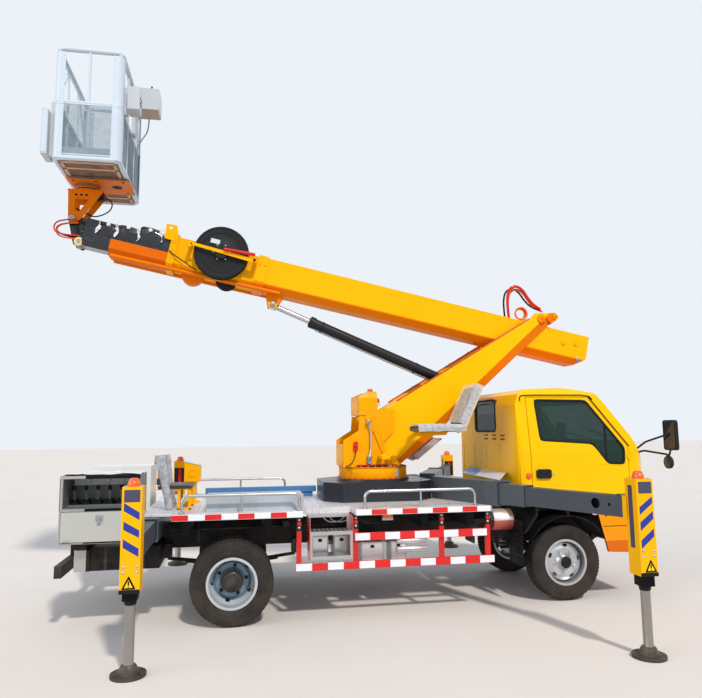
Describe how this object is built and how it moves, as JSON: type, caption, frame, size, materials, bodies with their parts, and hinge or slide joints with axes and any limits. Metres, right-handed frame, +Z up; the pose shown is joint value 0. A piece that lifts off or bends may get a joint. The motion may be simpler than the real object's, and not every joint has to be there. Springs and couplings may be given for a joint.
{
  "type": "cherry picker truck",
  "caption": "Flatbed truck carrying an articulated and telescopic boom with a work basket, on outriggers.",
  "frame": {"origin": "on the ground under the middle of the parked truck's box", "axes": "+X towards the cab, +Y to the truck's left, +Z up"},
  "size_m": [6.202, 4.8978, 5.5],
  "materials": {
    "yellow_paint": "gloss",
    "grey_paint": "satin",
    "black_paint": "satin",
    "red_paint": "satin",
    "white_paint": "gloss",
    "aluminium": "satin",
    "tyre": "matt",
    "rubber": "matt",
    "chrome": "polished",
    "cast_iron": "rough",
    "glass": "polished",
    "wrapped_vinyl": "wrapped",
    "plastic": "matt",
    "orange_paint": "gloss"
  },
  "bodies": {
    "chassis": {"frame_rails": "black_paint", "axles": "cast_iron", "engine_block": "cast_iron", "deck": "aluminium", "deck_rails": "aluminium", "side_guards": "red_paint", "side_boxes": "grey_paint", "outrigger_sleeves": "grey_paint", "pedestal": "black_paint", "rear_boxes": "yellow_paint", "rear_seat": "yellow_paint", "deck_boxes": "black_paint", "cab_shell": "yellow_paint", "cab_glass": "glass", "cab_dash": "plastic", "cab_seats": "wrapped_vinyl", "front_bumper": "orange_paint", "wheel_liners": "rubber", "mirrors": "black_paint"},
    "turntable": {"turntable": "yellow_paint", "operator_seat": "wrapped_vinyl"},
    "lower_boom": {"lower_boom": "yellow_paint"},
    "luff_barrel": {"luff_barrel": "black_paint"},
    "luff_rod": {"luff_rod": "chrome"},
    "upper_boom": {"upper_boom": "yellow_paint", "boom_neck": "orange_paint", "hose_reel": "black_paint"},
    "upper_barrel": {"upper_barrel": "black_paint"},
    "upper_rod": {"upper_rod": "chrome"},
    "fly_boom": {"fly_boom": "black_paint"},
    "tip_bracket": {"tip_bracket": "orange_paint"},
    "basket": {"basket_frame": "white_paint", "basket_floor": "aluminium", "basket_panels": "aluminium", "basket_console": "white_paint"},
    "knuckle_right": {"knuckle_right": "cast_iron"},
    "wheel_front_right": {"tyre_front_right": "tyre", "rim_front_right": "chrome"},
    "wheels_rear_right": {"tyres_rear_right": "tyre", "rims_rear_right": "grey_paint"},
    "door_right": {"door_right": "yellow_paint", "door_glass_right": "glass"},
    "stage_front_right": {"stage_front_right": "grey_paint"},
    "beam_front_right": {"beam_front_right": "yellow_paint"},
    "beam_rear_right": {"beam_rear_right": "yellow_paint"},
    "jack_front_right": {"jack_front_right": "chrome"},
    "jack_rear_right": {"jack_rear_right": "chrome"},
    "knuckle_left": {"knuckle_left": "cast_iron"},
    "wheel_front_left": {"tyre_front_left": "tyre", "rim_front_left": "chrome"},
    "wheels_rear_left": {"tyres_rear_left": "tyre", "rims_rear_left": "grey_paint"},
    "door_left": {"door_left": "yellow_paint", "door_glass_left": "glass"},
    "stage_front_left": {"stage_front_left": "grey_paint"},
    "beam_front_left": {"beam_front_left": "yellow_paint"},
    "beam_rear_left": {"beam_rear_left": "yellow_paint"},
    "jack_front_left": {"jack_front_left": "chrome"},
    "jack_rear_left": {"jack_rear_left": "chrome"}
  },
  "joints": [
    {"name": "steer_right", "type": "hinge", "parent": "chassis", "child": "knuckle_right", "pos_m": [2.079, -0.54, 0.371], "axis": [0, 0, 1], "range_deg": [-32, 32]},
    {"name": "spin_front_right", "type": "hinge", "parent": "knuckle_right", "child": "wheel_front_right", "pos_m": [2.079, -0.665, 0.371], "axis": [0, 1, 0], "continuous": true},
    {"name": "spin_rear_right", "type": "hinge", "parent": "chassis", "child": "wheels_rear_right", "pos_m": [-1.221, -0.77, 0.371], "axis": [0, 1, 0], "continuous": true},
    {"name": "door_swing_right", "type": "hinge", "parent": "chassis", "child": "door_right", "pos_m": [2.763, -0.856, 1.5], "axis": [0, 0, 1], "range_deg": [0, 65]},
    {"name": "stage_front_right", "type": "slide", "parent": "chassis", "child": "stage_front_right", "axis": [0.4067, -0.9135, 0], "range_m": [-0.28, 0]},
    {"name": "beam_front_right", "type": "slide", "parent": "stage_front_right", "child": "beam_front_right", "axis": [0.4067, -0.9135, 0], "range_m": [-0.32, 0]},
    {"name": "beam_rear_right", "type": "slide", "parent": "chassis", "child": "beam_rear_right", "axis": [0, -1, 0], "range_m": [-0.6, 0]},
    {"name": "jack_front_right", "type": "slide", "parent": "beam_front_right", "child": "jack_front_right", "axis": [0, 0, 1], "range_m": [0, 0.45]},
    {"name": "jack_rear_right", "type": "slide", "parent": "beam_rear_right", "child": "jack_rear_right", "axis": [0, 0, 1], "range_m": [0, 0.45]},
    {"name": "steer_left", "type": "hinge", "parent": "chassis", "child": "knuckle_left", "pos_m": [2.079, 0.54, 0.371], "axis": [0, 0, 1], "range_deg": [-32, 32]},
    {"name": "spin_front_left", "type": "hinge", "parent": "knuckle_left", "child": "wheel_front_left", "pos_m": [2.079, 0.665, 0.371], "axis": [0, 1, 0], "continuous": true},
    {"name": "spin_rear_left", "type": "hinge", "parent": "chassis", "child": "wheels_rear_left", "pos_m": [-1.221, 0.77, 0.371], "axis": [0, 1, 0], "continuous": true},
    {"name": "door_swing_left", "type": "hinge", "parent": "chassis", "child": "door_left", "pos_m": [2.763, 0.856, 1.5], "axis": [0, 0, -1], "range_deg": [0, 65]},
    {"name": "stage_front_left", "type": "slide", "parent": "chassis", "child": "stage_front_left", "axis": [0.4067, 0.9135, 0], "range_m": [-0.28, 0]},
    {"name": "beam_front_left", "type": "slide", "parent": "stage_front_left", "child": "beam_front_left", "axis": [0.4067, 0.9135, 0], "range_m": [-0.32, 0]},
    {"name": "beam_rear_left", "type": "slide", "parent": "chassis", "child": "beam_rear_left", "axis": [0, 1, 0], "range_m": [-0.6, 0]},
    {"name": "jack_front_left", "type": "slide", "parent": "beam_front_left", "child": "jack_front_left", "axis": [0, 0, 1], "range_m": [0, 0.45]},
    {"name": "jack_rear_left", "type": "slide", "parent": "beam_rear_left", "child": "jack_rear_left", "axis": [0, 0, 1], "range_m": [0, 0.45]},
    {"name": "slew", "type": "hinge", "parent": "chassis", "child": "turntable", "pos_m": [0.262, 0, 1.202], "axis": [0, 0, 1], "range_deg": [-180, 180]},
    {"name": "lower_luff", "type": "hinge", "parent": "turntable", "child": "lower_boom", "pos_m": [0.174, 0, 1.84], "axis": [0, -1, 0], "range_deg": [0, 40]},
    {"name": "upper_luff", "type": "hinge", "parent": "lower_boom", "child": "upper_boom", "pos_m": [2.201, 0, 2.94], "axis": [0, 1, 0], "range_deg": [-5, 60]},
    {"name": "fly_extend", "type": "slide", "parent": "upper_boom", "child": "fly_boom", "axis": [-0.9774, 0, 0.2113], "range_m": [0, 2]},
    {"name": "basket_level", "type": "hinge", "parent": "fly_boom", "child": "tip_bracket", "pos_m": [-2.904, 0, 3.915], "axis": [0, -1, 0], "range_deg": [-18, 62]},
    {"name": "basket_swing", "type": "hinge", "parent": "tip_bracket", "child": "basket", "pos_m": [-2.781, 0, 4.27], "axis": [0, 0, 1], "range_deg": [-90, 90]},
    {"name": "luff_barrel", "type": "hinge", "parent": "turntable", "child": "luff_barrel", "pos_m": [0.354, 0, 1.44], "axis": [0, -1, 0], "range_deg": [0, 40]},
    {"name": "luff_rod", "type": "slide", "parent": "luff_barrel", "child": "luff_rod", "axis": [0.7809, 0, 0.6247], "range_m": [0, 0.32]},
    {"name": "upper_barrel", "type": "hinge", "parent": "lower_boom", "child": "upper_barrel", "pos_m": [1.192, 0, 2.214], "axis": [0, 1, 0], "range_deg": [-6, 62]},
    {"name": "upper_rod", "type": "slide", "parent": "upper_barrel", "child": "upper_rod", "axis": [-0.9214, 0, 0.3885], "range_m": [-0.12, 1.26]}
  ],
  "couplings": [
    {"joint": "steer_left", "follows": "steer_right", "ratio": 1},
    {"joint": "luff_barrel", "follows": "lower_luff", "ratio": 0.8076},
    {"joint": "luff_rod", "follows": "lower_luff", "m_per_rad": 0.3793},
    {"joint": "upper_barrel", "follows": "upper_luff", "ratio": 1.0084},
    {"joint": "upper_rod", "follows": "upper_luff", "m_per_rad": 1.1868}
  ]
}
